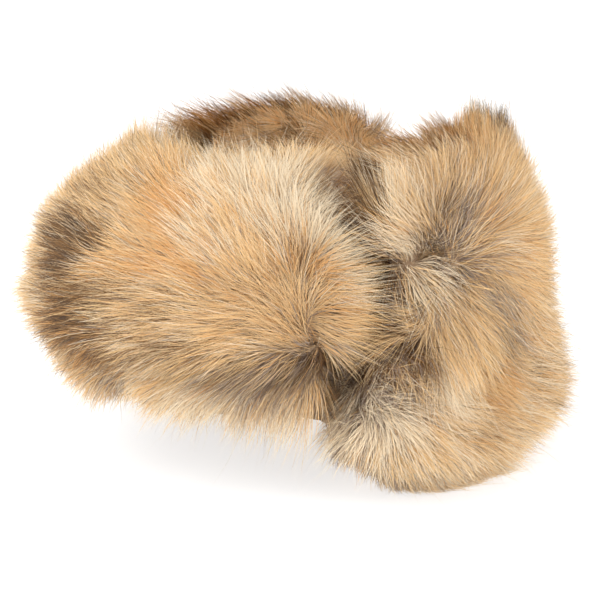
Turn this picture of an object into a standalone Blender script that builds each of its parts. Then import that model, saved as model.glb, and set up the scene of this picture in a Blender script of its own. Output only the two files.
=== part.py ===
"""A full-fur aviator hat that stands on its folded flaps.

The wearer looks along -Y and their left side is +X. The hat stands on z = 0 with its head hollow
open below, and the middle of its box over the origin. The peak, both ear flaps and the nape flap
are folded up round the crown with their fur outside. Each fur piece is a closed slab of skin and
underfur whose cells are drawn out into leaning locks, so that the locks and their backing are one
body.
"""

import math
import random
from collections import namedtuple

import bmesh
import bpy
from mathutils import Vector

# Head hollow and crown, in metres
HEAD_HALF_WIDTH = 0.084
HEAD_HALF_LENGTH = 0.102
CROWN_WALL = 0.0025
CROWN_TOP = 0.160
SIDE_RIM = 0.008
FRONT_RIM = 0.044
CROWN_SQUARENESS = 2.5
CROWN_SEGMENTS = 36
CROWN_RINGS = 8

# Where the rim climbs from the ears to the forehead, in degrees from the front
RIM_CLIMB_START = 100.0
RIM_CLIMB_END = 62.0

# Room between pieces: a facet's chord dips inside the round surface that it follows
CLEARANCE = 0.0003
SEAT_DIP = 0.0005
CROWN_FUR_DIP = 0.0022

# Fur on the crown
CROWN_FUR_DEPTH = 0.009
CROWN_FUR_TOP_DEPTH = 0.013
CROWN_LOCK = 0.012
CROWN_LOCK_RISE = 0.85
CROWN_LOCK_FALL = 0.35
CROWN_LOCK_LEAST = 0.45
CROWN_FUR_REACH = 0.78
CROWN_FUR_CELLS = 10

# Flaps: the skin's heights, and how far a fold is pressed flat by the ground
PEAK_HEIGHT = 0.120
PEAK_LIFT = 0.020
EAR_FLAP_HEIGHT = 0.203
PRESSED_FOLD = 0.003

# Flaps: where their skin stands off the crown, how far it does, and how far it leans back over it
SEAT_HEIGHT = 0.016
STAND_OFF = 0.020
STAND_OFF_RISE = 0.022
LEAN_IN = 0.030

# Flaps: depth of skin and underfur at a free edge and at the fold, and its swell between them
EDGE_DEPTH = 0.013
FOLD_DEPTH = 0.030
UNDERFUR_SWELL = 0.014

# Locks: their length, the shares of it at the waist, the waist's width, and how unlike they are
FLAP_LOCK = 0.029
WAIST_HEIGHT = 0.45
WAIST_LEAN = 0.55
WAIST_WIDTH = 0.72
LENGTH_SPREAD = 0.25
SIDE_SPREAD = 0.10
LOWEST_TIP = 0.0015
CELL_SPREAD = 0.20

# Combing: locks lean away from the flap's parting, the more the further out they stand
LEAST_LEAN = 0.40
MOST_LEAN = 0.86
PARTING_RAISED = 0.05
PARTING_ON_GROUND = -0.25

# Combing: between these heights of the slab, locks at a free edge come to comb out past it freely
OPENING_START = 0.55
OPENING_END = 0.95

# Fringe: the flaps that reach the ground are furred over the top of their inner face too. LOWEST
# and SPAN are places on the slab, and STAND and RISE say how far the locks stand in over the crown
# and how far they rise, as shares of a lock.
FRINGE_LOWEST = 0.40
FRINGE_SPAN = 0.75
FRINGE_STAND = 0.55
FRINGE_RISE = 0.45

Flap = namedtuple(
    "Flap",
    "name middle half_span bottom height tilt lean columns rows "
    "open_low open_high corner round_top round_bottom colour",
)
# middle and half_span are in degrees of the skin round the head, from the front towards the
# wearer's left. tilt is how far the top rises towards the wearer's left, as a share of the
# height, and lean a share of LEAN_IN. open_low and open_high say how far the locks comb out past
# the edge at either end, as a share that grows to all at the top corner, and an edge at 0 is
# joined and has none. corner is how far the lower front corner reaches forward, in degrees, and
# the last two how round the corners are.
FLAPS = [
    Flap("peak", 0.0, 69.0, FRONT_RIM + PEAK_LIFT, PEAK_HEIGHT, 0.067, 1.0, 20, 9,
         0.40, 0.40, 0.0, 0.52, 0.34, (0.66, 0.48, 0.30, 1)),
    Flap("left_ear_flap", 115.5, 31.5, -PRESSED_FOLD, EAR_FLAP_HEIGHT, 0.0, 0.4, 9, 12,
         0.40, 0.0, -16.0, 0.34, 0.85, (0.60, 0.45, 0.29, 1)),
    Flap("right_ear_flap", -115.5, 31.5, -PRESSED_FOLD, 0.93 * EAR_FLAP_HEIGHT, 0.0, 0.66, 9, 11,
         0.0, 0.40, 16.0, 0.50, 0.85, (0.58, 0.43, 0.28, 1)),
    Flap("nape_flap", 180.0, 30.5, -PRESSED_FOLD, 0.73 * EAR_FLAP_HEIGHT, 0.0, 0.4, 9, 9,
         0.0, 0.0, 0.0, 0.30, 0.20, (0.55, 0.41, 0.27, 1)),
]

# A slab's points and cells below this depth are on its back
ON_BACK = 0.25

COLLECTION = "aviator_hat"


def ease(value, start, end):
    """A smooth step from 0 at start to 1 at end."""
    share = min(max((value - start) / (end - start), 0.0), 1.0)
    return share * share * (3.0 - 2.0 * share)


def head_frame(turn):
    """The crown's outer face at an angle round the head, with its outward and sideways directions."""
    half_width = HEAD_HALF_WIDTH + CROWN_WALL
    half_length = HEAD_HALF_LENGTH + CROWN_WALL
    face = Vector((half_width * math.sin(turn), -half_length * math.cos(turn), 0.0))
    out = Vector((math.sin(turn) / half_width, -math.cos(turn) / half_length, 0.0)).normalized()
    along = Vector((0.0, 0.0, 1.0)).cross(out)
    return face, out, along


def rim_height(turn):
    """The crown's lower edge: level round the back and ears, raised over the forehead."""
    from_front = abs(math.degrees(math.remainder(turn, math.tau)))
    climb = ease(from_front, RIM_CLIMB_START, RIM_CLIMB_END)
    return SIDE_RIM + (FRONT_RIM - SIDE_RIM) * climb


def crown_point(turn, level):
    """A point of the crown's outer face: level 0 is the rim and 1 the top, on a square-shouldered arc."""
    power = 2.0 / CROWN_SQUARENESS
    arc = level * math.pi / 2.0
    spread = max(math.cos(arc), 0.0) ** power
    rise = math.sin(arc) ** power
    face, _, _ = head_frame(turn)
    rim = rim_height(turn)
    return Vector((face.x * spread, face.y * spread, rim + (CROWN_TOP - rim) * rise))


def crown_inset(turn, height):
    """How far the crown's outer face lies inside its widest outline at a height."""
    rim = rim_height(turn)
    rise = min(max((height - rim) / (CROWN_TOP - rim), 0.0), 1.0)
    arc = math.asin(rise ** (CROWN_SQUARENESS / 2.0))
    return HEAD_HALF_WIDTH * (1.0 - math.cos(arc) ** (2.0 / CROWN_SQUARENESS))


def crown_normal(turn, level):
    """The crown's outward direction, from its slope on either side of the point."""
    step = 0.02
    upper = min(level + step, 0.999)
    up = crown_point(turn, upper) - crown_point(turn, level - step)
    side = crown_point(turn + step, level) - crown_point(turn - step, level)
    return side.cross(up).normalized()


def round_corners(a, b, round_top, round_bottom=None):
    """Pulls a square of -1..1 in towards its corners, to an ellipse at a roundness of 1."""
    roundness = round_top if b > 0 or round_bottom is None else round_bottom
    return (
        a * math.sqrt(1.0 - roundness * b * b / 2.0),
        b * math.sqrt(1.0 - roundness * a * a / 2.0),
    )


def make_collection():
    """The collection that holds every piece."""
    collection = bpy.data.collections.new(COLLECTION)
    bpy.context.scene.collection.children.link(collection)
    return collection


def make_material(name, colour, roughness):
    """A plain Principled finish."""
    material = bpy.data.materials.new(name)
    material.use_nodes = True
    shader = material.node_tree.nodes["Principled BSDF"]
    shader.inputs["Base Color"].default_value = colour
    shader.inputs["Roughness"].default_value = roughness
    return material


def add_piece(bm, name, colour, roughness, collection):
    """Puts a finished mesh into the collection as one named piece."""
    mesh = bpy.data.meshes.new(name)
    bm.to_mesh(mesh)
    bm.free()
    mesh.materials.append(make_material(name, colour, roughness))
    piece = bpy.data.objects.new(name, mesh)
    collection.objects.link(piece)
    return piece


def slab(columns, rows, seed):
    """A closed slab of cells on -1..1, a little uneven, with its back at z = 0 and front at z = 1."""
    bm = bmesh.new()
    bmesh.ops.create_grid(bm, x_segments=columns, y_segments=rows, size=1.0)
    dice = random.Random(seed)
    for vert in bm.verts:
        shift = [dice.uniform(-1.0, 1.0) * CELL_SPREAD * 2.0 / cells for cells in (columns, rows)]
        if not vert.is_boundary:
            vert.co.xy = vert.co.x + shift[0], vert.co.y + shift[1]
    drawn = bmesh.ops.extrude_face_region(bm, geom=bm.faces[:], use_keep_orig=True)
    for item in drawn["geom"]:
        if isinstance(item, bmesh.types.BMVert):
            item.co.z = 1.0
    bmesh.ops.recalc_face_normals(bm, faces=bm.faces[:])
    return bm


def furred(bm, place, comb, lock, is_furred, seed):
    """Lays a slab out and draws each furred cell into a lock.

    place gives a slab point's position. comb gives the direction of a lock, as a vector whose
    length is a share of the lock's. A cell is extruded by itself, its far face is narrowed and
    moved to the lock's waist, and that face is poked and its middle pulled to the tip.
    """
    centre_layer = bm.faces.layers.float_vector.new("slab_centre")
    for face in bm.faces:
        face[centre_layer] = face.calc_center_median()
    chosen = [face for face in bm.faces if is_furred(face[centre_layer])]
    for vert in bm.verts:
        vert.co = place(*vert.co)
    dice = random.Random(seed)
    drawn = bmesh.ops.extrude_discrete_faces(bm, faces=chosen)["faces"]
    for face in sorted(drawn, key=lambda cell: tuple(cell[centre_layer])):
        spot = face[centre_layer]
        length = lock * (1.0 + LENGTH_SPREAD * dice.uniform(-1.0, 1.0))
        middle = face.calc_center_median()
        rise, lean = comb(*spot)
        waist = middle + length * WAIST_HEIGHT * (rise + WAIST_LEAN * lean)
        for vert in face.verts:
            vert.co = waist + WAIST_WIDTH * (vert.co - middle)
            vert.co.z = max(vert.co.z, LOWEST_TIP)
        sideways = Vector([dice.uniform(-1.0, 1.0) for _ in range(3)]) * SIDE_SPREAD * length
        tip = bmesh.ops.poke(bm, faces=[face])["verts"][0]
        tip.co = middle + length * (rise + lean) + sideways
        tip.co.z = max(tip.co.z, LOWEST_TIP)
    bm.faces.layers.float_vector.remove(centre_layer)
    bmesh.ops.triangulate(bm, faces=bm.faces[:])
    return bm


def flap_chart(flap):
    """The functions that lay out and comb one flap."""

    def spot(a, b):
        """The angle round the head and the height of a slab point."""
        x, y = round_corners(a, b, flap.round_top, flap.round_bottom)
        forward = flap.corner * (1.0 - ease(b, -1.0, 0.3))
        forward *= (1.0 - a) / 2.0 if flap.middle > 0 else (1.0 + a) / 2.0
        turn = math.radians(flap.middle + flap.half_span * x + forward)
        share = (y + 1.0) / 2.0 + flap.tilt * x * ease(y, -1.0, 1.0)
        return turn, flap.bottom + flap.height * share

    def place(a, b, front):
        turn, level = spot(a, b)
        face, out, _ = head_frame(turn)
        back = CLEARANCE + SEAT_DIP
        seat = max(flap.bottom, 0.0) + SEAT_HEIGHT
        off = ease(level, seat, seat + STAND_OFF_RISE)
        back += STAND_OFF * off - crown_inset(turn, min(level, seat)) * (1.0 - off)
        back -= LEAN_IN * flap.lean * ease(b, 0.0, 1.0) ** 2
        fold = ease(-b, -0.2, 1.0)
        depth = EDGE_DEPTH + (FOLD_DEPTH - EDGE_DEPTH) * fold
        swell = UNDERFUR_SWELL * math.sqrt((1.0 - a**4) * (1.0 - b**4))
        offset = back + front * (depth + swell)
        return face + out * offset + Vector((0.0, 0.0, max(level, 0.0)))

    def comb(a, b, front):
        turn, _ = spot(a, b)
        _, out, along = head_frame(turn)
        if front < ON_BACK:
            return -FRINGE_STAND * out, Vector((0.0, 0.0, FRINGE_RISE))
        up = b - (PARTING_ON_GROUND if flap.bottom < 0 else PARTING_RAISED)
        far = math.hypot(a, up)
        lean = LEAST_LEAN + (MOST_LEAN - LEAST_LEAN) * min(far, 1.0)
        side = a / max(far, 0.05) * lean * ease(far, 0.0, 0.3)
        openness = flap.open_high if a > 0 else flap.open_low
        if openness:
            openness += (1.0 - openness) * ease(b, OPENING_START, OPENING_END)
        side *= 1.0 - (1.0 - openness) * ease(abs(a), 0.3, 0.9)
        rise = up / max(far, 0.05) * lean * ease(far, 0.0, 0.3)
        stand = math.sqrt(1.0 - min(side * side + rise * rise, MOST_LEAN**2))
        return out * stand, along * side + Vector((0.0, 0.0, rise))

    return place, comb


def flap_is_furred(flap):
    """Fur covers the front, the free edges and the fringe, not a joined edge or a fold on the ground."""

    def test(spot):
        in_fringe = flap.bottom < 0 and spot.y > FRINGE_LOWEST and abs(spot.x) < FRINGE_SPAN
        on_bare_back = spot.z < ON_BACK and not in_fringe
        on_fold = spot.y < -0.999 and flap.bottom < 0
        on_joined_edge = (spot.x < -0.999 and not flap.open_low) or (
            spot.x > 0.999 and not flap.open_high
        )
        return not (on_bare_back or on_fold or on_joined_edge)

    return test


def make_flap(flap, collection):
    """One folded-up flap: skin, underfur and locks in one body."""
    place, comb = flap_chart(flap)
    bm = slab(flap.columns, flap.rows, flap.name)
    furred(bm, place, comb, FLAP_LOCK, flap_is_furred(flap), flap.name)
    return add_piece(bm, flap.name, flap.colour, 0.9, collection)


def make_crown(collection):
    """The hollow crown: the upper half of a sphere drawn to the crown's shape and thickened inwards."""
    bm = bmesh.new()
    bmesh.ops.create_uvsphere(bm, u_segments=CROWN_SEGMENTS, v_segments=2 * CROWN_RINGS, radius=1.0)
    lower = [vert for vert in bm.verts if vert.co.z < -0.001]
    bmesh.ops.delete(bm, geom=lower, context="VERTS")
    for vert in bm.verts:
        level = math.asin(min(max(vert.co.z, 0.0), 1.0)) / (math.pi / 2.0)
        vert.co = crown_point(math.atan2(vert.co.x, -vert.co.y), level)
    bmesh.ops.recalc_face_normals(bm, faces=bm.faces[:])
    crown = add_piece(bm, "crown", (0.30, 0.20, 0.12, 1), 0.7, collection)
    wall = crown.modifiers.new("wall", "SOLIDIFY")
    wall.thickness = CROWN_WALL
    wall.offset = -1.0
    wall.use_even_offset = True
    return crown


def make_crown_fur(collection):
    """The crown's fur, laid over the shell and shortest where the flaps press it."""

    def spot(a, b):
        x, y = round_corners(a, b, 0.92)
        return math.atan2(x, -y), 1.0 - CROWN_FUR_REACH * min(math.hypot(x, y), 1.0)

    def place(a, b, front):
        turn, level = spot(a, b)
        depth = CROWN_FUR_DEPTH + (CROWN_FUR_TOP_DEPTH - CROWN_FUR_DEPTH) * level
        offset = CLEARANCE + CROWN_FUR_DIP + front * depth
        if level > 0.97:
            return crown_point(turn, level) + Vector((0.0, 0.0, offset))
        return crown_point(turn, level) + crown_normal(turn, level) * offset

    def comb(a, b, front):
        turn, level = spot(a, b)
        rise = crown_normal(turn, min(level, 0.97))
        if level > 0.97:
            rise = Vector((0.0, 0.0, 1.0))
        down = crown_point(turn, max(level - 0.05, 0.0)) - crown_point(turn, min(level + 0.01, 1.0))
        length = CROWN_LOCK_LEAST + (1.0 - CROWN_LOCK_LEAST) * ease(level, 0.35, 0.75)
        return rise * CROWN_LOCK_RISE * length, down.normalized() * CROWN_LOCK_FALL * length

    def is_furred(spot_centre):
        inside = max(abs(spot_centre.x), abs(spot_centre.y)) < 0.999
        return spot_centre.z > 0.75 and inside

    bm = slab(CROWN_FUR_CELLS, CROWN_FUR_CELLS, "crown_fur")
    furred(bm, place, comb, CROWN_LOCK, is_furred, "crown_fur")
    return add_piece(bm, "crown_fur", (0.45, 0.33, 0.21, 1), 0.9, collection)


def centre_pieces(pieces):
    """Moves the whole hat so that the middle of its box stands over the origin."""
    corners = [vert.co for piece in pieces for vert in piece.data.vertices]
    for axis in (0, 1):
        values = [corner[axis] for corner in corners]
        middle = (min(values) + max(values)) / 2.0
        for piece in pieces:
            piece.location[axis] -= middle


def main():
    """Clears the file and builds the hat."""
    for old in list(bpy.data.objects):
        bpy.data.objects.remove(old, do_unlink=True)
    collection = make_collection()
    pieces = [make_crown(collection), make_crown_fur(collection)]
    pieces += [make_flap(flap, collection) for flap in FLAPS]
    centre_pieces(pieces)


main()
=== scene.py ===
"""The looks of a full-fur aviator hat that stands on its folded flaps.

Every flap is a pelt, which is a slab of skin and underfur, with strands of fur grown from it.
Strands are flat tapering blades in joined meshes. Positions on a flap are given by a and b, which
run from -1 to 1 round the head and up the flap, and by depth, 0 at the skin and 1 at the fur.
"""

import math
from collections import namedtuple

import bpy
import numpy as np
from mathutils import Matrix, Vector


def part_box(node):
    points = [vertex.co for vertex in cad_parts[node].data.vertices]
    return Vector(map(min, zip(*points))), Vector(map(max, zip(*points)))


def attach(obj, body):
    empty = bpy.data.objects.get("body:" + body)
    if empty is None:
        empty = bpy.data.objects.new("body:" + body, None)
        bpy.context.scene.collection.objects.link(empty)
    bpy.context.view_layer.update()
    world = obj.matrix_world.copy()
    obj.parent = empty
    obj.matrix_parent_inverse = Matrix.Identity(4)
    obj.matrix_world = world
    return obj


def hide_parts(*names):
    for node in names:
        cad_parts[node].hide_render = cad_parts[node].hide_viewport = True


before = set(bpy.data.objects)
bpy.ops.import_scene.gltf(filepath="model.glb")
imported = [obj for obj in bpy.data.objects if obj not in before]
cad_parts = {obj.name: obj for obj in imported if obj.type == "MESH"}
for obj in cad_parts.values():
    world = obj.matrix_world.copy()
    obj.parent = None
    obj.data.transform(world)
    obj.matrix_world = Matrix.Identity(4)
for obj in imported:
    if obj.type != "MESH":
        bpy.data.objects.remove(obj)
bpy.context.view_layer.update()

# The crown, read from the frame, and the shape that the flaps are laid round
crown_low, crown_high = (np.array(corner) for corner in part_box("crown"))
HEAD_CENTRE = (crown_low + crown_high) / 2.0
HALF_WIDTH, HALF_LENGTH = (crown_high - crown_low)[:2] / 2.0
CROWN_TOP = crown_high[2]
SIDE_RIM = 0.008
FRONT_RIM = 0.044
RIM_CLIMB_START = 100.0
RIM_CLIMB_END = 62.0
CROWN_SQUARENESS = 2.5

# The flaps' skin: heights, where it leaves the crown, and its depth with underfur
PEAK_HEIGHT = 0.120
PEAK_LIFT = 0.020
EAR_FLAP_HEIGHT = 0.203
PRESSED_FOLD = 0.003
SEAT_GAP = 0.0008
SEAT_HEIGHT = 0.016
STAND_OFF = 0.020
STAND_OFF_RISE = 0.022
LEAN_IN = 0.030
EDGE_DEPTH = 0.013
FOLD_DEPTH = 0.030
UNDERFUR_SWELL = 0.014
SWELL_POWER = 4
BED_RISE = 0.002
PELT_TUFT = 0.0035
GROUND = 0.0006

# Crown fur
CROWN_FUR_GAP = 0.0025
CROWN_PELT_DEPTH = 0.010
CROWN_FUR_REACH = 0.78
CROWN_FUR_ROUNDNESS = 0.92

Flap = namedtuple(
    "Flap",
    "node middle half_span bottom height tilt lean corner round_top round_bottom free_edges "
    "grid clumps blades down length stand slot",
)
FLAPS = [
    Flap("peak", 0.0, 69.0, FRONT_RIM + PEAK_LIFT, PEAK_HEIGHT, 0.067, 1.0, 0.0, 0.52, 0.34,
         ("top", "bottom", "low", "high"), (84, 40), (52, 30), 38500, 35000, 0.021, (0.95, 0.32),
         "peak_fur"),
    Flap("left_ear_flap", 115.5, 31.5, -PRESSED_FOLD, EAR_FLAP_HEIGHT, 0.0, 0.4, -16.0, 0.34, 0.85,
         ("top", "low", "high"), (44, 60), (22, 34), 38500, 34000, 0.025, (0.80, 0.28), "ear_flap_fur"),
    Flap("right_ear_flap", -115.5, 31.5, -PRESSED_FOLD, 0.93 * EAR_FLAP_HEIGHT, 0.0, 0.66, 16.0,
         0.50, 0.85, ("top", "high", "low"), (36, 48), (20, 30), 16500, 14000, 0.025, (0.80, 0.28),
         "ear_flap_fur"),
    Flap("nape_flap", 180.0, 30.5, -PRESSED_FOLD, 0.73 * EAR_FLAP_HEIGHT, 0.0, 0.4, 0.0, 0.30,
         0.20, ("top", "low", "high"), (36, 40), (20, 24), 11500, 11000, 0.025, (0.80, 0.28), "nape_flap_fur"),
]
CROWN_BLADES = 16500

# Fur colours, a row for each kind of hair: root, middle and tip, in linear light
Coat = namedtuple("Coat", "name root middle tip")
COATS = [
    Coat("down_grey", (0.25, 0.18, 0.135), (0.36, 0.275, 0.215), (0.42, 0.33, 0.26)),
    Coat("down_tan", (0.52, 0.34, 0.18), (0.70, 0.47, 0.25), (0.76, 0.54, 0.31)),
    Coat("cream", (0.80, 0.63, 0.43), (0.88, 0.72, 0.50), (0.93, 0.81, 0.62)),
    Coat("gold", (0.75, 0.48, 0.23), (0.84, 0.55, 0.26), (0.90, 0.64, 0.35)),
    Coat("rust", (0.62, 0.33, 0.13), (0.72, 0.38, 0.14), (0.76, 0.43, 0.17)),
    Coat("banded", (0.66, 0.46, 0.26), (0.80, 0.57, 0.32), (0.17, 0.10, 0.06)),
    # brown and dark are real hair colours, which some patches below also use as painted shade
    Coat("brown", (0.21, 0.115, 0.055), (0.27, 0.145, 0.06), (0.11, 0.06, 0.032)),
    Coat("dark", (0.10, 0.065, 0.045), (0.09, 0.058, 0.04), (0.04, 0.026, 0.02)),
]
COAT_INDEX = {coat.name: index for index, coat in enumerate(COATS)}

# Where each flap's colour lies: centre and reach in a and b, then the shares of the coats. Some dark and brown
# patches are painted shade, as marked below
Patch = namedtuple("Patch", "a b reach_a reach_b weight shares")
BASE_MIX = {"cream": 0.22, "gold": 0.46, "rust": 0.14, "banded": 0.13, "brown": 0.04, "dark": 0.01}
RIM_MIX = {
    "peak": {"cream": 0.5, "gold": 0.5, "banded": 0.3},
    "left_ear_flap": {"dark": 1.6, "brown": 1.6, "banded": 0.4},
    "right_ear_flap": {"brown": 0.5, "rust": 0.6, "banded": 0.8},
    "nape_flap": {"brown": 0.8, "banded": 0.6},
}
PATCHES = {
    "peak": [
        # The next three patches, dark and brown down the peak's far side, are partly real dark guard hair and partly
        # painted shade where that side turns away from the light
        Patch(0.00, 0.38, 0.13, 0.18, 12.0, {"brown": 0.40, "dark": 0.48, "banded": 0.12}),
        Patch(0.09, -0.05, 0.11, 0.15, 7.0, {"brown": 0.50, "banded": 0.20, "dark": 0.30}),
        Patch(0.13, -0.42, 0.10, 0.20, 12.0, {"brown": 0.50, "dark": 0.35, "rust": 0.15}),
        Patch(0.05, 0.80, 0.25, 0.16, 4.0, {"brown": 0.40, "banded": 0.30, "gold": 0.30}),
        Patch(0.33, 0.12, 0.07, 0.06, 7.0, {"brown": 0.60, "banded": 0.40}),
        Patch(0.55, -0.32, 0.08, 0.05, 6.0, {"brown": 0.60, "banded": 0.40}),
        Patch(0.47, -0.04, 0.06, 0.05, 5.0, {"brown": 0.60, "banded": 0.40}),
        Patch(0.44, 0.80, 0.07, 0.14, 20.0, {"rust": 0.85, "gold": 0.15}),
        Patch(0.42, 0.42, 0.22, 0.18, 5.0, {"rust": 0.42, "gold": 0.50, "banded": 0.08}),
        Patch(0.90, 0.05, 0.22, 0.34, 7.0, {"gold": 0.82, "rust": 0.08, "banded": 0.10}),
        Patch(0.97, 0.80, 0.22, 0.34, 16.0, {"cream": 0.97, "gold": 0.03}),
        Patch(1.00, 0.45, 0.12, 0.30, 10.0, {"cream": 0.90, "banded": 0.10}),
        Patch(0.64, 0.86, 0.12, 0.30, 6.0, {"cream": 0.70, "gold": 0.30}),
        Patch(0.87, -0.65, 0.16, 0.16, 6.0, {"down_grey": 0.60, "banded": 0.30, "brown": 0.10}),
        Patch(0.50, -0.95, 0.40, 0.14, 4.0, {"cream": 0.60, "gold": 0.40}),
        Patch(0.88, 0.30, 0.02, 0.16, 20.0, {"rust": 0.70, "brown": 0.30}),
        Patch(-0.35, 0.0, 0.14, 0.60, 5.0, {"gold": 0.60, "cream": 0.40}),
        Patch(-0.85, 0.3, 0.25, 0.9, 2.0, {"cream": 0.50, "gold": 0.50}),
    ],
    "left_ear_flap": [
        Patch(-0.88, 0.44, 0.12, 0.09, 14.0, {"cream": 0.95, "gold": 0.05}),
        # These four dark and brown patches on the front edge by the peak are painted shade: the shadow of the groove
        # there and of the hollows beside it
        Patch(-1.00, 0.22, 0.12, 0.10, 12.0, {"dark": 0.50, "brown": 0.50}),
        Patch(-1.05, 0.72, 0.06, 0.30, 11.0, {"dark": 0.60, "brown": 0.40}),
        Patch(-1.00, -0.20, 0.05, 0.10, 12.0, {"dark": 0.60, "brown": 0.40}),
        Patch(-0.80, -0.08, 0.08, 0.08, 8.0, {"dark": 0.35, "brown": 0.65}),
        Patch(-0.42, 0.00, 0.12, 0.16, 14.0, {"gold": 0.80, "cream": 0.20}),
        Patch(-0.31, -0.27, 0.10, 0.10, 8.0, {"rust": 0.70, "gold": 0.30}),
        Patch(-0.57, -0.20, 0.07, 0.14, 8.0, {"cream": 0.90, "gold": 0.10}),
        Patch(-0.95, 0.03, 0.10, 0.08, 6.0, {"gold": 0.50, "brown": 0.30, "banded": 0.20}),
        Patch(-0.60, 0.82, 0.40, 0.20, 4.0, {"gold": 0.60, "cream": 0.18, "banded": 0.22}),
        Patch(0.10, 0.92, 0.20, 0.14, 4.0, {"gold": 0.80, "rust": 0.20}),
        Patch(0.92, 1.00, 0.10, 0.06, 6.0, {"dark": 0.50, "banded": 0.50}),
        Patch(0.85, 0.0, 0.28, 1.0, 4.0, {"banded": 0.66, "cream": 0.16, "dark": 0.10, "gold": 0.08}),
        Patch(-0.95, -0.62, 0.25, 0.20, 5.0, {"cream": 0.90, "gold": 0.10}),
        Patch(-0.20, -0.82, 0.60, 0.22, 2.5, {"cream": 0.50, "gold": 0.30, "banded": 0.20}),
    ],
    "right_ear_flap": [
        Patch(0.0, 0.8, 1.5, 0.45, 2.0, {"rust": 0.30, "gold": 0.34, "banded": 0.20, "brown": 0.16}),
        Patch(1.00, 0.80, 0.10, 0.20, 1.5, {"banded": 0.60, "brown": 0.40}),
    ],
    "nape_flap": [],
}

# Comb charts: the way that hair lies, in degrees, where 0 is round the head towards a and 90 is up.
# The columns are places in a, and each row is a place in b
Comb = namedtuple("Comb", "columns rows")
COMBS = {
    "peak": Comb((-1.0, -0.5, 0.0, 0.2, 0.4, 0.6, 0.8, 0.9, 1.0), {
        1.00: (140, 140, 150, 135, 110, 100, 85, 75, 57),
        0.75: (140, 145, 172, 160, 145, 138, 115, 95, 48),
        0.50: (150, 155, 176, 165, 158, 150, 125, 90, 40),
        0.25: (165, 165, 180, 172, 162, 155, 140, 95, 24),
        0.00: (180, 180, 188, 190, 185, 170, 150, 70, 4),
        -0.25: (200, 190, 200, 210, 210, 195, 160, 115, 0),
        -0.50: (215, 210, 210, 213, 215, 207, 180, 150, -25),
        -0.75: (220, 225, 225, 222, 222, 222, 207, 215, -60),
        -1.00: (230, 240, 240, 235, 232, 235, 232, 245, 270),
    }),
    "left_ear_flap": Comb((-1.0, -0.8, -0.6, -0.4, -0.2, 0.0, 0.3, 0.6, 1.0), {
        1.00: (135, 137, 138, 135, 130, 118, 105, 100, 95),
        0.80: (95, 100, 102, 95, 80, 60, 50, 70, 65),
        0.60: (115, 132, 110, 95, 50, 40, 32, 35, 35),
        0.40: (-50, -46, 130, 15, 0, -2, 0, 8, 12),
        0.20: (150, 148, -60, -90, -40, -30, -15, 0, 0),
        0.00: (-130, -110, -85, -96, -100, -112, -40, -26, -10),
        -0.20: (10, -20, -85, -82, -40, -28, -24, -22, -18),
        -0.40: (-45, -30, -35, -40, -38, -30, -24, -22, -20),
        -0.60: (-130, -60, -48, -43, -38, -32, -25, -26, -24),
        -0.80: (-115, -75, -55, -50, -42, -37, -30, -30, -28),
        -1.00: (-100, -85, -65, -55, -48, -42, -35, -35, -30),
    }),
    "right_ear_flap": Comb((-1.0, 0.0, 1.0), {
        1.00: (70, 48, 20),
        0.40: (125, 60, 22),
        0.00: (185, -80, -8),
        -0.60: (230, -85, -40),
        -1.00: (240, -90, -60),
    }),
    "nape_flap": Comb((-1.0, 0.0, 1.0), {
        1.00: (115, 90, 65),
        0.30: (165, 85, 15),
        -0.30: (215, -85, -35),
        -1.00: (250, -92, -70),
    }),
}

# Relief: swells and hollows of the fur's bed, as a place, a reach in a and b, and a height
RELIEF = {
    "peak": [
        (0.96, -0.60, 0.12, 0.14, -0.004), (0.62, 0.20, 0.28, 0.60, 0.002),
        (-0.10, -0.80, 0.20, 0.30, 0.002), (0.22, -0.95, 0.07, 0.25, -0.008),
    ],
    "left_ear_flap": [
        (-0.47, 0.64, 0.12, 0.09, -0.008), (-0.64, 0.47, 0.12, 0.09, -0.008),
        (-0.40, 0.32, 0.16, 0.07, -0.006), (-0.22, 0.20, 0.12, 0.08, -0.009),
        (-0.04, 0.02, 0.08, 0.14, -0.008), (-1.00, 0.24, 0.12, 0.09, -0.011),
        (-0.82, -0.07, 0.10, 0.07, -0.009), (-0.88, -0.32, 0.16, 0.07, -0.007),
        (-1.00, -0.48, 0.10, 0.08, -0.009), (-1.00, -0.16, 0.05, 0.07, -0.009),
        (-0.88, 0.42, 0.12, 0.10, 0.006), (-0.42, 0.00, 0.13, 0.18, 0.007),
        (-0.94, 0.05, 0.10, 0.07, 0.006), (-0.52, -0.25, 0.12, 0.12, 0.004),
        (0.05, 0.68, 0.50, 0.20, 0.005), (0.10, 0.38, 0.30, 0.12, 0.005),
        (-0.20, -0.72, 0.60, 0.22, 0.004), (-1.00, -1.00, 0.35, 0.25, -0.012),
    ],
    "right_ear_flap": [(0.00, 0.10, 0.25, 0.16, -0.007), (0.10, 0.70, 0.60, 0.25, 0.004)],
    "nape_flap": [(0.00, 0.00, 0.30, 0.14, -0.007), (-0.40, 0.60, 0.35, 0.30, 0.004)],
}


# Trims: where hair is longer or shorter, as a place, a reach in a and b, and a change
TRIMS = {
    "peak": [
        (1.00, 0.05, 0.14, 1.00, 0.45), (0.95, -1.00, 0.22, 0.25, 0.60),
        (0.24, -1.00, 0.06, 0.20, -0.50), (1.00, 0.64, 0.08, 0.26, -0.38),
    ],
    "left_ear_flap": [
        (0.0, 1.0, 1.4, 0.22, -0.40), (-1.0, -1.0, 0.35, 0.30, -0.45),
        (-1.0, 0.60, 0.15, 0.35, 0.25), (-1.0, -0.50, 0.12, 0.12, 0.35), (-0.20, -1.0, 0.35, 0.25, 0.20),
    ],
    "right_ear_flap": [(0.95, 0.90, 0.35, 0.40, 0.50), (-0.2, 1.0, 0.8, 0.25, -0.20)],
    "nape_flap": [(0.0, 1.0, 1.4, 0.22, -0.25)],
}


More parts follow.
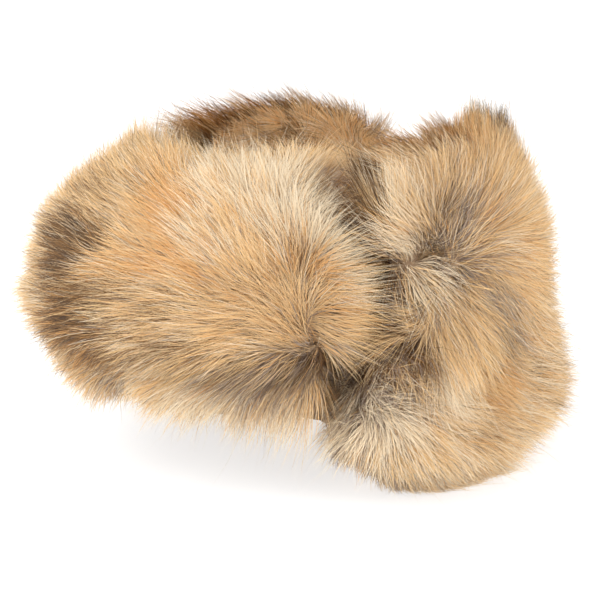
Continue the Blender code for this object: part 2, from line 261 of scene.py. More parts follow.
def ease(value, start, end):
    """A smooth step: 0 before start, 1 after end, three squares less two cubes between them."""
    share = np.clip((value - start) / (end - start), 0.0, 1.0)
    return share * share * (3.0 - 2.0 * share)


def unit(vectors):
    """Each row divided by its length."""
    return vectors / np.maximum(np.linalg.norm(vectors, axis=-1, keepdims=True), 1e-9)


def cross(one, two):
    """The cross product, row by row."""
    return np.cross(one, two)


def soft_noise(flap, a, b, size, seed):
    """Random values from -1 to 1 on a grid over a and b, eased from each point to the next. size is
    the grid's spacing as a count of the flap's clumps, so that it is alike on every flap."""
    across, up = (max(2, round(count / size)) for count in flap.clumps)
    values = np.random.default_rng(seed).uniform(-1.0, 1.0, (across + 3, up + 3))
    x = (np.clip(a, -1.1, 1.1) + 1.1) / 2.2 * across
    y = (np.clip(b, -1.1, 1.1) + 1.1) / 2.2 * up
    i, j = x.astype(int), y.astype(int)
    u, v = ease(x - i, 0.0, 1.0), ease(y - j, 0.0, 1.0)
    low = values[i, j] * (1.0 - u) + values[i + 1, j] * u
    high = values[i, j + 1] * (1.0 - u) + values[i + 1, j + 1] * u
    return low * (1.0 - v) + high * v


def head_frame(turn):
    """The crown's outer face as an ellipse, with its outward normal and the way round, at angles."""
    zero = np.zeros_like(turn)
    face = np.stack([HALF_WIDTH * np.sin(turn), -HALF_LENGTH * np.cos(turn), zero], axis=-1)
    out = unit(np.stack([np.sin(turn) / HALF_WIDTH, -np.cos(turn) / HALF_LENGTH, zero], axis=-1))
    along = np.stack([-out[..., 1], out[..., 0], zero], axis=-1)
    return face + np.array([HEAD_CENTRE[0], HEAD_CENTRE[1], 0.0]), out, along


def rim_height(turn):
    """The crown's lower edge, eased up from the ears to the forehead."""
    from_front = np.abs(np.degrees(np.arctan2(np.sin(turn), np.cos(turn))))
    return SIDE_RIM + (FRONT_RIM - SIDE_RIM) * ease(from_front, RIM_CLIMB_START, RIM_CLIMB_END)


def crown_inset(turn, height):
    """How far the crown's face has curved in from its widest outline at a height."""
    rim = rim_height(turn)
    rise = np.clip((height - rim) / (CROWN_TOP - rim), 0.0, 1.0)
    arc = np.arcsin(rise ** (CROWN_SQUARENESS / 2.0))
    return HALF_WIDTH * (1.0 - np.cos(arc) ** (2.0 / CROWN_SQUARENESS))


def flap_spot(flap, a, b):
    """A square of a and b pulled in at its corners, turned into an angle and a height."""
    roundness = np.where(b > 0, flap.round_top, flap.round_bottom)
    x = a * np.sqrt(1.0 - roundness * b * b / 2.0)
    y = b * np.sqrt(1.0 - roundness * a * a / 2.0)
    front_share = (1.0 - a) / 2.0 if flap.middle > 0 else (1.0 + a) / 2.0
    forward = flap.corner * (1.0 - ease(b, -1.0, 0.3)) * front_share
    turn = np.radians(flap.middle + flap.half_span * x + forward)
    share = (y + 1.0) / 2.0 + flap.tilt * x * ease(y, -1.0, 1.0)
    return turn, flap.bottom + flap.height * share


def flap_place(flap, a, b, depth):
    """A point of a flap: the crown's ellipse pushed out by the skin's stand-off, then by the
    underfur, which is thickest at the fold and swells between the edges."""
    turn, level = flap_spot(flap, a, b)
    face, out, _ = head_frame(turn)
    seat = max(flap.bottom, 0.0) + SEAT_HEIGHT
    off = ease(level, seat, seat + STAND_OFF_RISE)
    back = SEAT_GAP + STAND_OFF * off
    back = back - crown_inset(turn, np.minimum(level, seat)) * (1.0 - off)
    back = back - LEAN_IN * flap.lean * ease(b, 0.0, 1.0) ** 2
    thick = EDGE_DEPTH + (FOLD_DEPTH - EDGE_DEPTH) * ease(-b, -0.2, 1.0)
    inside = np.clip((1.0 - np.abs(a) ** SWELL_POWER) * (1.0 - np.abs(b) ** SWELL_POWER), 0.0, 1.0)
    thick = thick + UNDERFUR_SWELL * np.sqrt(inside) + BED_RISE * inside
    for at_a, at_b, reach_a, reach_b, height in RELIEF[flap.node]:
        thick = thick + height * np.exp(-(((a - at_a) / reach_a) ** 2) - ((b - at_b) / reach_b) ** 2)
    offset = back + depth * thick
    place = face + out * offset[..., None]
    place[..., 2] += np.maximum(level, 0.0)
    return place


def flap_normal(flap, a, b):
    """The fur side's outward direction, from the slopes on either side of each point."""
    step = 0.02
    a, b = np.clip(a, -0.97, 0.97), np.clip(b, -0.97, 0.97)
    one = np.ones_like(a)
    across = flap_place(flap, a + step, b, one) - flap_place(flap, a - step, b, one)
    up = flap_place(flap, a, b + step, one) - flap_place(flap, a, b - step, one)
    return unit(cross(across, up))


def crown_place(a, b, lift):
    """A point over the crown's dome: a and b become a disc whose middle is the dome's top, and the
    dome is an arc with square shoulders."""
    x = a * np.sqrt(1.0 - CROWN_FUR_ROUNDNESS * b * b / 2.0)
    y = b * np.sqrt(1.0 - CROWN_FUR_ROUNDNESS * a * a / 2.0)
    turn = np.arctan2(x, -y)
    arc = (1.0 - CROWN_FUR_REACH * np.clip(np.hypot(x, y), 0.0, 1.0)) * math.pi / 2.0
    power = 2.0 / CROWN_SQUARENESS
    spread = np.maximum(np.cos(arc), 0.0) ** power
    rim = rim_height(turn)
    face, out, _ = head_frame(turn)
    centre = np.array([HEAD_CENTRE[0], HEAD_CENTRE[1], 0.0])
    place = centre + (face - centre) * spread[..., None]
    place[..., 2] = rim + (CROWN_TOP - rim) * np.sin(arc) ** power
    tilt = unit(out * np.cos(arc)[..., None] + np.array([0.0, 0.0, 1.0]) * np.sin(arc)[..., None])
    return place + tilt * lift[..., None], tilt


def add_mesh(name, points, loops, starts, materials, indices=None, uvs=None):
    """A mesh from whole arrays of points, corner indices and polygon starts."""
    mesh = bpy.data.meshes.new(name)
    mesh.vertices.add(len(points))
    mesh.vertices.foreach_set("co", np.ascontiguousarray(points, dtype=np.float32).ravel())
    mesh.loops.add(len(loops))
    mesh.loops.foreach_set("vertex_index", loops.astype(np.int32))
    mesh.polygons.add(len(starts))
    mesh.polygons.foreach_set("loop_start", starts.astype(np.int32))
    for material in materials:
        mesh.materials.append(material)
    if indices is not None:
        mesh.polygons.foreach_set("material_index", indices.astype(np.int32))
    if uvs is not None:
        layer = mesh.uv_layers.new(name=FUR_MAP)
        layer.uv.foreach_set("vector", np.ascontiguousarray(uvs, dtype=np.float32).ravel())
    mesh.update(calc_edges=True)
    mesh.shade_smooth()
    piece = bpy.data.objects.new(name, mesh)
    bpy.context.scene.collection.objects.link(piece)
    return piece


def slab_mesh(name, front, back, front_material, back_material):
    """A closed slab between two grids of points: both faces in quads, and a strip round the edge."""
    rows, columns = front.shape[:2]
    grid = np.arange(rows * columns).reshape(rows, columns)
    quads = np.stack([grid[:-1, :-1], grid[1:, :-1], grid[1:, 1:], grid[:-1, 1:]], -1).reshape(-1, 4)
    ring = np.concatenate([grid[:, 0], grid[-1, 1:], grid[-2::-1, -1], grid[0, -2:0:-1]])
    after = np.roll(ring, -1)
    far = rows * columns
    strip = np.stack([ring + far, after + far, after, ring], -1)
    faces = np.concatenate([quads, quads[:, ::-1] + far, strip])
    materials = np.concatenate([np.zeros(len(quads)), np.ones(len(quads)), np.zeros(len(strip))])
    points = np.concatenate([front.reshape(-1, 3), back.reshape(-1, 3)])
    starts = np.arange(len(faces)) * 4
    return add_mesh(name, points, faces.ravel(), starts, [front_material, back_material], materials)


FUR_MAP = "OFBake"
BLADE_COLUMN = 0.02
BED_SHARE = 0.90


def blade_mesh(name, path, width_way, half_widths, coats, shade, bed, material):
    """Flat blades along paths of points: two points to each side of all but the tip, which is one.
    The map's u holds the kind of coat with a random shade, and v runs from root to tip. Blades are
    shaded mostly by the bed's own direction, so that the coat looks soft."""
    count, steps = path.shape[:2]
    backwards = np.sum(cross(path[:, -1] - path[:, 0], width_way) * bed, axis=1) > 0
    width_way = np.where(backwards[:, None], -width_way, width_way)
    sides = width_way[:, None, :] * half_widths[..., None]
    left, right = path[:, :-1] - sides, path[:, :-1] + sides
    pairs = np.stack([left, right], axis=2).reshape(count, -1, 3)
    points = np.concatenate([pairs, path[:, -1:]], axis=1)
    size = points.shape[1]
    corners, heights, edges = [], [], []
    for step in range(steps - 2):
        corners += [2 * step, 2 * step + 1, 2 * step + 3, 2 * step + 2]
        heights += [step, step, step + 1, step + 1]
        edges += [-1, 1, 1, -1]
    corners += [size - 3, size - 2, size - 1]
    heights += [steps - 2, steps - 2, steps - 1]
    edges += [-1, 1, 0]
    loops = (np.arange(count)[:, None] * size + np.array(corners)).ravel()
    lengths = np.array([4] * (steps - 2) + [3])
    starts = np.concatenate([[0], np.cumsum(np.tile(lengths, count))[:-1]])
    along = np.array(heights) / (steps - 1.0)
    across = (coats + 0.1 + 0.8 * shade)[:, None] + BLADE_COLUMN * np.array(edges)
    uvs = np.stack([across / len(COATS), np.broadcast_to(along, across.shape)], axis=-1)
    facing = cross(path[:, -1] - path[:, 0], width_way)
    facing = unit(facing) * np.sign(np.sum(facing * bed, axis=1, keepdims=True))
    soft = unit(BED_SHARE * bed + (1.0 - BED_SHARE) * facing)
    blades = add_mesh(name, points.reshape(-1, 3), loops, starts, [material], uvs=uvs.reshape(-1, 2))
    layer = blades.data.attributes.new("custom_normal", "FLOAT_VECTOR", "POINT")
    layer.data.foreach_set("vector", np.repeat(soft, size, axis=0).astype(np.float32).ravel())
    return blades


def combing(flap, a, b, seed):
    """The way that hair lies, as shares round and up: the comb chart's directions, eased from each
    place to the next. Noise warps the places and is added to the shares."""
    for size, share in COMB_WARP:
        bend = share * size / np.array(flap.clumps)
        a = a + bend[0] * soft_noise(flap, a, b, size, seed + 50 + int(10 * size))
        b = b + bend[1] * soft_noise(flap, a, b, size, seed + 51 + int(10 * size))
    comb = COMBS[flap.node]
    columns, levels = np.array(comb.columns), np.array(sorted(comb.rows))
    angles = np.radians([comb.rows[level] for level in sorted(comb.rows)])
    i = np.clip(np.searchsorted(columns, a) - 1, 0, len(columns) - 2)
    j = np.clip(np.searchsorted(levels, b) - 1, 0, len(levels) - 2)
    u, v = ease(a, columns[i], columns[i + 1]), ease(b, levels[j], levels[j + 1])
    shares = []
    for index, grid in enumerate((np.cos(angles), np.sin(angles))):
        low = grid[j, i] * (1.0 - u) + grid[j, i + 1] * u
        high = grid[j + 1, i] * (1.0 - u) + grid[j + 1, i + 1] * u
        share = low * (1.0 - v) + high * v
        for size, amount in COMB_NOISE:
            share = share + amount * soft_noise(flap, a, b, size, seed + int(10 * size) + index)
        shares.append(share)
    side, rise = shares
    size = np.maximum(np.hypot(side, rise), SMALLEST_LIE)
    return side / size, rise / size


COMB_NOISE = ((8.0, 0.20), (3.5, 0.30), (1.6, 0.30))
SMALLEST_LIE = 0.6
COMB_WARP = ((4.0, 0.9), (1.8, 0.8))


def trimming(flap, a, b):
    """Scales the hair's length: 1 plus the bells of the places where it is longer or shorter."""
    share = np.ones_like(a)
    for at_a, at_b, reach_a, reach_b, change in TRIMS[flap.node]:
        share += change * np.exp(-(((a - at_a) / reach_a) ** 2) - ((b - at_b) / reach_b) ** 2)
    return share


def hollowness(flap, a, b):
    """How far a place lies in one of the bed's hollows, from 0 to 1: the sum of their bells."""
    share = np.zeros_like(a)
    for at_a, at_b, reach_a, reach_b, height in RELIEF[flap.node]:
        bell = np.exp(-(((a - at_a) / reach_a) ** 2) - ((b - at_b) / reach_b) ** 2)
        share += max(-height / HOLLOW_DEPTH, 0.0) * bell
    return np.minimum(share, 1.0)


HOLLOW_DEPTH = 0.008


def strand_paths(flap, a, b, depth, edge, length, swing, steps):
    """Strands as curves from their roots: each sets out near the skin's normal, bends over towards
    the way it is combed, and droops a little. edge turns roots on the slab's rim outwards."""
    root = flap_place(flap, a, b, depth)
    turn, _ = flap_spot(flap, a, b)
    _, out, round_way = head_frame(turn)
    up = np.array([0.0, 0.0, 1.0])
    normal = flap_normal(flap, a, b)
    rim_way = round_way * edge[:, :1] + up * edge[:, 1:]
    edge_share = np.abs(edge).max(axis=1, keepdims=True)
    normal = unit(normal * (1.0 - 0.6 * edge_share) + rim_way * 1.2)
    side, rise = combing(flap, a, b, COMB_SEED)
    turned = side * np.cos(swing) - rise * np.sin(swing)
    rise = side * np.sin(swing) + rise * np.cos(swing)
    lie = round_way * turned[:, None] + up * rise[:, None]
    lie = lie - normal * np.sum(lie * normal, axis=1, keepdims=True)
    stand_start, stand_end = flap.stand
    start = unit(stand_start * normal + 0.8 * lie)
    end = unit((stand_end + 0.35 * edge_share) * normal + 1.0 * lie + np.array([0.0, 0.0, -0.10]))
    shares = np.linspace(0.0, 1.0, steps)[None, :, None]
    bent = start[:, None, :] * (shares - 0.5 * shares**2) + end[:, None, :] * (0.5 * shares**2)
    return root[:, None, :] + length[:, None, None] * bent * 1.15, normal


def gather_clumps(flap, a, b, seed):
    """For each root, the nearest of one jittered point to each cell of a grid: nine cells are
    compared, the root's own and those round it."""
    columns, rows = flap.clumps
    dice = np.random.default_rng(seed)
    jitter = dice.uniform(0.1, 0.9, (columns + 2, rows + 2, 2))
    x, y = (a + 1.0) / 2.0 * columns + 1.0, (b + 1.0) / 2.0 * rows + 1.0
    i0, j0 = np.clip(x.astype(int), 1, columns), np.clip(y.astype(int), 1, rows)
    best = np.full(a.shape, np.inf)
    spot = np.zeros(a.shape + (2,))
    for di in (-1, 0, 1):
        for dj in (-1, 0, 1):
            i, j = i0 + di, j0 + dj
            px, py = i + jitter[i, j, 0], j + jitter[i, j, 1]
            distance = (px - x) ** 2 + (py - y) ** 2
            closer = distance < best
            best = np.where(closer, distance, best)
            spot[closer] = np.stack([px, py], -1)[closer]
    ca = np.clip((spot[:, 0] - 1.0) / columns * 2.0 - 1.0, -1.0, 1.0)
    cb = np.clip((spot[:, 1] - 1.0) / rows * 2.0 - 1.0, -1.0, 1.0)
    return ca, cb


def pick_coats(flap, a, b, edge, hollow, dice):
    """Draws a kind of coat for each strand."""
    total = coat_shares(flap, a, b)
    total[:, COAT_INDEX["down_grey"]] += 5.0 * hollow
    for name, share in RIM_MIX[flap.node].items():
        total[:, COAT_INDEX[name]] += share * np.abs(edge[:, 0])
    total = np.cumsum(total / total.sum(axis=1, keepdims=True), axis=1)
    return (dice.uniform(0.0, 1.0, len(a))[:, None] > total).sum(axis=1)


def coat_shares(flap, a, b):
    """The kinds of coat at each root, in shares that the patches blend by a bell and noise mottles."""
    total = np.zeros((len(a), len(COATS)))
    for name, share in BASE_MIX.items():
        total[:, COAT_INDEX[name]] += share
    drift = 0.05 * soft_noise(flap, a, b, 5.0, 77)
    for patch in PATCHES[flap.node]:
        bell = np.exp(-(((a + drift - patch.a) / patch.reach_a) ** 2) - ((b + drift - patch.b) / patch.reach_b) ** 2)
        for name, share in patch.shares.items():
            total[:, COAT_INDEX[name]] += patch.weight * bell * share
    for index in range(len(COATS)):
        mottle = 1.0 * soft_noise(flap, a, b, 4.5, 200 + index)
        mottle += 1.6 * soft_noise(flap, a, b, 1.4, 300 + index)
        total[:, index] *= np.exp(mottle)
    return total


def scatter_roots(flap, count, dice):
    """Random roots over the fur side, and a share of them on the free edges of the slab."""
    a = dice.uniform(-1.0, 1.0, count)
    b = dice.uniform(-1.0, 1.0, count)
    depth = np.ones(count)
    edge = np.zeros((count, 2))
    rim_count = int(count * RIM_SHARE)
    spans = {"top": flap.clumps[0], "bottom": flap.clumps[0], "low": flap.clumps[1],
             "high": flap.clumps[1]}
    shares = np.array([spans[name] for name in flap.free_edges], float)
    chosen = dice.choice(len(shares), rim_count, p=shares / shares.sum())
    depth[:rim_count] = dice.uniform(0.0, 1.0, rim_count)
    for index, name in enumerate(flap.free_edges):
        here = np.flatnonzero(chosen == index)
        sign = 1.0 if name in ("top", "high") else -1.0
        upright = name in ("top", "bottom")
        (b if upright else a)[here] = sign
        edge[here, int(upright)] = sign * (1.0 - 0.4 * depth[here])
    return a, b, depth, edge


RIM_SHARE = 0.20
BLADE_STEPS = 4
DOWN_STEPS = 3


def on_ground(path, dice):
    """Lifts points that fall below the ground to lie on it, each a hair's breadth apart."""
    floor = GROUND + 0.0015 * dice.uniform(0.0, 1.0, path.shape[:1])[:, None]
    path[..., 2] = np.maximum(path[..., 2], floor)
    return path


def grow(flap, name, count, length, half_width, steps, hold, coat_of, material, seed):
    """Grows one mesh of strands on a flap. Each strand swings a little from the combed way, and is
    drawn towards the one at its clump's middle by a share that rises from root to tip."""
    dice = np.random.default_rng(seed)
    a, b, depth, edge = scatter_roots(flap, count, dice)
    hollow = hollowness(flap, a, b)
    lengths = length * (1.0 + 0.20 * dice.normal(0.0, 1.0, count).clip(-2.0, 2.4))
    lengths *= (1.0 - 0.45 * hollow) * (1.0 + 0.24 * soft_noise(flap, a, b, 1.8, seed + 5))
    lengths *= trimming(flap, a, b) * np.where(dice.uniform(0.0, 1.0, count) < GUARD_SHARE, GUARD_GAIN, 1.0)
    lengths *= 1.0 + 0.10 * np.abs(edge).max(axis=1)
    swing = (SWING + TANGLE * hollow) * dice.normal(0.0, 1.0, count)
    path, normal = strand_paths(flap, a, b, depth, edge, lengths, swing, steps)
    ca, cb = gather_clumps(flap, a, b, CLUMP_SEED)
    lead, _ = strand_paths(flap, ca, cb, depth, edge, lengths, TANGLE * hollow * soft_noise(flap, ca, cb, 0.7, 9), steps)
    along = np.linspace(0.0, 1.0, steps)[None, :, None]
    drawn = hold * dice.uniform(0.1, 1.0, count)[:, None, None]
    path += (lead - path) * drawn * along**1.4
    stray = STRAY * lengths[:, None] * dice.normal(0.0, 1.0, (count, 3))
    way = unit(path[:, -1] - path[:, 0])
    flat = unit(cross(way, normal))
    wave = WAVE * lengths * (soft_noise(flap, a, b, 0.8, seed + 7) + dice.normal(0.0, 0.6, count))
    path += (flat * wave[:, None])[:, None, :] * np.sin(math.pi * along)
    path = on_ground(path + stray[:, None, :] * along**2, dice)
    spin = dice.uniform(-0.9, 0.9, count)[:, None]
    width_way = unit(flat * np.cos(spin) + unit(cross(way, flat)) * np.sin(spin))
    taper = np.array([[1.0, 0.92, 0.60]]) if steps == BLADE_STEPS else np.array([[1.0, 0.72]])
    half_widths = half_width * dice.uniform(0.75, 1.25, count)[:, None] * taper
    coats = coat_of(flap, a, b, edge, hollow, dice)
    shade = np.clip(0.5 + 0.3 * soft_noise(flap, a, b, 1.2, seed + 3) + 0.2 * dice.normal(0.0, 1.0, count), 0.0, 1.0)
    fur = blade_mesh(name, path, width_way, half_widths, coats, shade, normal, material)
    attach(fur, "root")
    return fur


COMB_SEED = 11
CLUMP_SEED = 23
STRAY = 0.06
GUARD_SHARE = 0.04
GUARD_GAIN = 1.35
SWING = 0.26
TANGLE = 0.80
WAVE = 0.07


def make_fringe(flap, material, seed):
    """Strands on the top of the flap's inner face, which lean in over the crown and hang a little:
    the skin side's direction, then up and sideways as the flap is combed."""
    dice = np.random.default_rng(seed)
    count = FRINGE_BLADES[flap.node]
    a = dice.uniform(-1.0, 1.0, count)
    b = 1.0 - (1.0 - FRINGE_LOWEST) * dice.uniform(0.0, 1.0, count) ** 1.1
    root = flap_place(flap, a, b, np.zeros_like(a))
    turn, _ = flap_spot(flap, a, b)
    _, out, round_way = head_frame(turn)
    side, rise = combing(flap, a, np.full_like(b, 0.95), COMB_SEED + 5)
    up = np.array([0.0, 0.0, 1.0])
    swing = 0.9 * soft_noise(flap, a, b, 1.5, seed) + 0.3 * dice.normal(0.0, 1.0, len(a))
    turned = side * np.cos(swing) - rise * np.sin(swing)
    rise = side * np.sin(swing) + rise * np.cos(swing)
    lie = round_way * turned[:, None] + up * (0.35 + 0.5 * rise[:, None])
    start, end = unit(0.6 * lie - out), unit(lie - 0.35 * out - 0.25 * up)
    tuft = soft_noise(flap, a, b, 1.0, seed + 2)
    lengths = FRINGE_LENGTH * (1.0 + 0.3 * tuft + 0.2 * dice.normal(0.0, 1.0, len(a)).clip(-2, 2))
    along = np.linspace(0.0, 1.0, DOWN_STEPS)[None, :, None]
    bent = start[:, None, :] * (along - 0.5 * along**2) + end[:, None, :] * (0.5 * along**2)
    path = root[:, None, :] + lengths[:, None, None] * bent * 1.15
    path += (0.06 * lengths[:, None] * dice.normal(0.0, 1.0, (len(a), 3)))[:, None, :] * along**2
    width_way = unit(cross(path[:, -1] - path[:, 0], out))
    half_widths = 0.00026 * dice.uniform(0.7, 1.3, len(a))[:, None] * np.array([[1.0, 0.7]])
    streak = soft_noise(flap, a, b, 0.9, seed + 3) + 0.5 * dice.normal(0.0, 1.0, len(a))
    kinds = np.array([COAT_INDEX[name] for name in FRINGE_MIX])
    coats = kinds[np.clip((streak + 1.2) / 2.4 * len(kinds), 0, len(kinds) - 1).astype(int)]
    shade = np.clip(0.5 + 0.26 * dice.normal(0.0, 1.0, len(a)), 0.0, 1.0)
    fringe = blade_mesh(flap.node + "_fringe", path, width_way, half_widths, coats, shade, -out, material)
    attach(fringe, "root")


FRINGE_BLADES = {"peak": 3000, "left_ear_flap": 4000, "right_ear_flap": 18000, "nape_flap": 5000}
FRINGE_LOWEST = 0.30
FRINGE_LENGTH = 0.024
FRINGE_MIX = ("brown", "banded", "rust", "down_tan", "gold", "gold", "cream")


def down_coats(flap, a, b, edge, hollow, dice):
    """Short down: grey at the partings, brown or cream under such fur, and mixed elsewhere."""
    total = coat_shares(flap, a, b)
    shares = total / total.sum(axis=1, keepdims=True)
    dark = shares[:, COAT_INDEX["brown"]] + shares[:, COAT_INDEX["dark"]]
    pick = dice.uniform(0.0, 1.0, len(a))
    kind = np.where(pick < 0.12 + 0.75 * hollow, COAT_INDEX["down_grey"], COAT_INDEX["down_tan"])
    kind = np.where(pick > 1.0 - 0.8 * shares[:, COAT_INDEX["cream"]], COAT_INDEX["cream"], kind)
    kind = np.where(pick > 1.0 - 0.8 * shares[:, COAT_INDEX["rust"]], COAT_INDEX["rust"], kind)
    return np.where(pick > 1.0 - 1.3 * dark, COAT_INDEX["brown"], kind)


def make_pelt(flap, underfur, suede):
    """The flap's skin and underfur, its fur side raised in soft tufts by noise."""
    columns, rows = flap.grid
    a, b = np.meshgrid(np.linspace(-1, 1, columns + 1), np.linspace(-1, 1, rows + 1), indexing="ij")
    front = flap_place(flap, a, b, np.ones_like(a))
    inside = (1.0 - np.abs(a) ** 8) * (1.0 - np.abs(b) ** 8)
    tuft = 0.6 * soft_noise(flap, a, b, 2.5, 5) + 0.4 * soft_noise(flap, a, b, 1.0, 6)
    front += flap_normal(flap, a.ravel(), b.ravel()).reshape(a.shape + (3,)) * (
        PELT_TUFT * tuft * inside
    )[..., None]
    front[..., 2] = np.maximum(front[..., 2], 0.0)
    back = flap_place(flap, a, b, np.zeros_like(a))
    pelt = slab_mesh(flap.node + "_pelt", front, back, underfur, suede)
    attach(pelt, "root")
    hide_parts(flap.node)


def make_crown_fur(underfur, suede, fur):
    """The crown's pelt over the dome, with short strands combed down from its top."""
    line = np.linspace(-1, 1, 49)
    a, b = np.meshgrid(line, line, indexing="ij")
    front, _ = crown_place(a, b, np.full(a.shape, CROWN_FUR_GAP + CROWN_PELT_DEPTH))
    back, _ = crown_place(a, b, np.full(a.shape, CROWN_FUR_GAP))
    pelt = slab_mesh("crown_fur_pelt", front, back, underfur, suede)
    dice = np.random.default_rng(41)
    a, b = dice.uniform(-1, 1, CROWN_BLADES), dice.uniform(-1, 1, CROWN_BLADES)
    root, normal = crown_place(a, b, np.full(a.shape, CROWN_FUR_GAP + CROWN_PELT_DEPTH - 0.001))
    centre = np.array([HEAD_CENTRE[0], HEAD_CENTRE[1], CROWN_TOP + 0.02])
    away = root - centre
    away -= normal * np.sum(away * normal, axis=1, keepdims=True)
    lie = unit(unit(away) + 0.25 * dice.normal(0.0, 1.0, (len(a), 3)))
    level = ease(root[:, 2], CROWN_TOP - 0.07, CROWN_TOP)
    lengths = (0.008 + 0.014 * level) * dice.uniform(0.8, 1.2, len(a))
    shares = np.linspace(0.0, 1.0, 3)[None, :, None]
    start, end = unit(0.9 * normal + 0.6 * lie), unit(0.25 * normal + lie)
    bent = start[:, None, :] * (shares - 0.5 * shares**2) + end[:, None, :] * (0.5 * shares**2)
    path = root[:, None, :] + lengths[:, None, None] * bent * 1.15
    width_way = unit(cross(path[:, -1] - path[:, 0], normal))
    half_widths = 0.00035 * np.array([[1.0, 0.7]]) * np.ones((len(a), 1))
    coats = dice.choice([COAT_INDEX["down_tan"], COAT_INDEX["gold"], COAT_INDEX["banded"]], len(a))
    blades = blade_mesh("crown_fur_blades", path, width_way, half_widths, coats, dice.uniform(0, 1, len(a)), normal, fur)
    for piece in (pelt, blades):
        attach(piece, "root")
    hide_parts("crown_fur")


def new_material(name):
    """An empty node material with a Principled shader, returned with its node tree and shader."""
    material = bpy.data.materials.new(name)
    material.use_nodes = True
    return material, material.node_tree, material.node_tree.nodes["Principled BSDF"]


def coat_group():
    """The fur's colour: three stepped ramps give each kind of coat its root, middle and tip, which
    are mixed along the hair, and the random shade in u lightens or darkens it."""
    group = bpy.data.node_groups.new("coat_colour", "ShaderNodeTree")
    group.interface.new_socket("Map", in_out="INPUT", socket_type="NodeSocketVector")
    spread = group.interface.new_socket("Shade Spread", in_out="INPUT", socket_type="NodeSocketFloat")
    spread.default_value = 0.35
    group.interface.new_socket("Colour", in_out="OUTPUT", socket_type="NodeSocketColor")
    nodes, links = group.nodes, group.links
    entry, leave = nodes.new("NodeGroupInput"), nodes.new("NodeGroupOutput")
    parts = nodes.new("ShaderNodeSeparateXYZ")
    links.new(entry.outputs["Map"], parts.inputs[0])

    def ramp(stage):
        node = nodes.new("ShaderNodeValToRGB")
        node.color_ramp.interpolation = "CONSTANT"
        stops = node.color_ramp.elements
        while len(stops) < len(COATS):
            stops.new(1.0)
        for index, coat in enumerate(COATS):
            stops[index].position = index / len(COATS)
            stops[index].color = (*getattr(coat, stage), 1.0)
        links.new(parts.outputs["X"], node.inputs["Fac"])
        return node.outputs["Color"]

    def along(start, end):
        node = nodes.new("ShaderNodeMapRange")
        node.interpolation_type = "SMOOTHSTEP"
        node.inputs["From Min"].default_value = start
        node.inputs["From Max"].default_value = end
        links.new(parts.outputs["Y"], node.inputs["Value"])
        return node.outputs["Result"]

    def mix(share, one, two, blend="MIX"):
        node = nodes.new("ShaderNodeMix")
        node.data_type = "RGBA"
        node.blend_type = blend
        if isinstance(share, float):
            node.inputs["Factor"].default_value = share
        else:
            links.new(share, node.inputs["Factor"])
        links.new(one, node.inputs["A"])
        links.new(two, node.inputs["B"])
        return node.outputs["Result"]

    def sum_of(operation, one, two):
        node = nodes.new("ShaderNodeMath")
        node.operation = operation
        for socket, value in zip(node.inputs, (one, two)):
            if isinstance(value, (int, float)):
                socket.default_value = value
            else:
                links.new(value, socket)
        return node.outputs[0]

    low = mix(along(0.10, 0.55), ramp("root"), ramp("middle"))
    body = mix(along(0.66, 0.95), low, ramp("tip"))
    cell = sum_of("FRACT", sum_of("MULTIPLY", parts.outputs["X"], len(COATS)), 0.0)
    centred = sum_of("SUBTRACT", cell, 0.5)
    gain = sum_of("ADD", sum_of("MULTIPLY", sum_of("MULTIPLY", centred, 2.0), entry.outputs["Shade Spread"]), 1.0)
    shade = nodes.new("ShaderNodeCombineXYZ")
    for socket in shade.inputs:
        links.new(gain, socket)
    links.new(mix(1.0, body, shade.outputs[0], "MULTIPLY"), leave.inputs["Colour"])
    return group


def grain_group():
    """Fine relief and blotches from two sizes of noise on Object coordinates."""
    group = bpy.data.node_groups.new("grain", "ShaderNodeTree")
    for name, value in (("Scale", 300.0), ("Blotch Scale", 25.0), ("Height", 0.3)):
        socket = group.interface.new_socket(name, in_out="INPUT", socket_type="NodeSocketFloat")
        socket.default_value = value
    group.interface.new_socket("Blotch", in_out="OUTPUT", socket_type="NodeSocketFloat")
    group.interface.new_socket("Normal", in_out="OUTPUT", socket_type="NodeSocketVector")
    nodes, links = group.nodes, group.links
    entry, leave = nodes.new("NodeGroupInput"), nodes.new("NodeGroupOutput")
    place = nodes.new("ShaderNodeTexCoord")
    fine, wide = nodes.new("ShaderNodeTexNoise"), nodes.new("ShaderNodeTexNoise")
    bump = nodes.new("ShaderNodeBump")
    bump.inputs["Distance"].default_value = 0.001
    for node, socket in ((fine, "Scale"), (wide, "Blotch Scale")):
        links.new(place.outputs["Object"], node.inputs["Vector"])
        links.new(entry.outputs[socket], node.inputs["Scale"])
        node.inputs["Detail"].default_value = 5.0
    links.new(entry.outputs["Height"], bump.inputs["Strength"])
    links.new(fine.outputs["Fac"], bump.inputs["Height"])
    links.new(wide.outputs["Fac"], leave.inputs["Blotch"])
    links.new(bump.outputs["Normal"], leave.inputs["Normal"])
    return group


def use_group(tree, group, **values):
    """Places a node group in a material and sets its inputs, with spaces for underscores."""
    node = tree.nodes.new("ShaderNodeGroup")
    node.node_tree = group
    for name, value in values.items():
        node.inputs[name.replace("_", " ")].default_value = value
    return node


def fur_material(group):
    """Strands: the coat's colour on a soft, slightly glossy shader."""
    material, tree, shader = new_material("fur")
    place = tree.nodes.new("ShaderNodeUVMap")
    place.uv_map = FUR_MAP
    coat = use_group(tree, group, Shade_Spread=0.08)
    tree.links.new(place.outputs["UV"], coat.inputs["Map"])
    tree.links.new(coat.outputs["Colour"], shader.inputs["Base Color"])
    shader.inputs["Roughness"].default_value = 0.62
    shader.inputs["Specular IOR Level"].default_value = 0.15
    return material


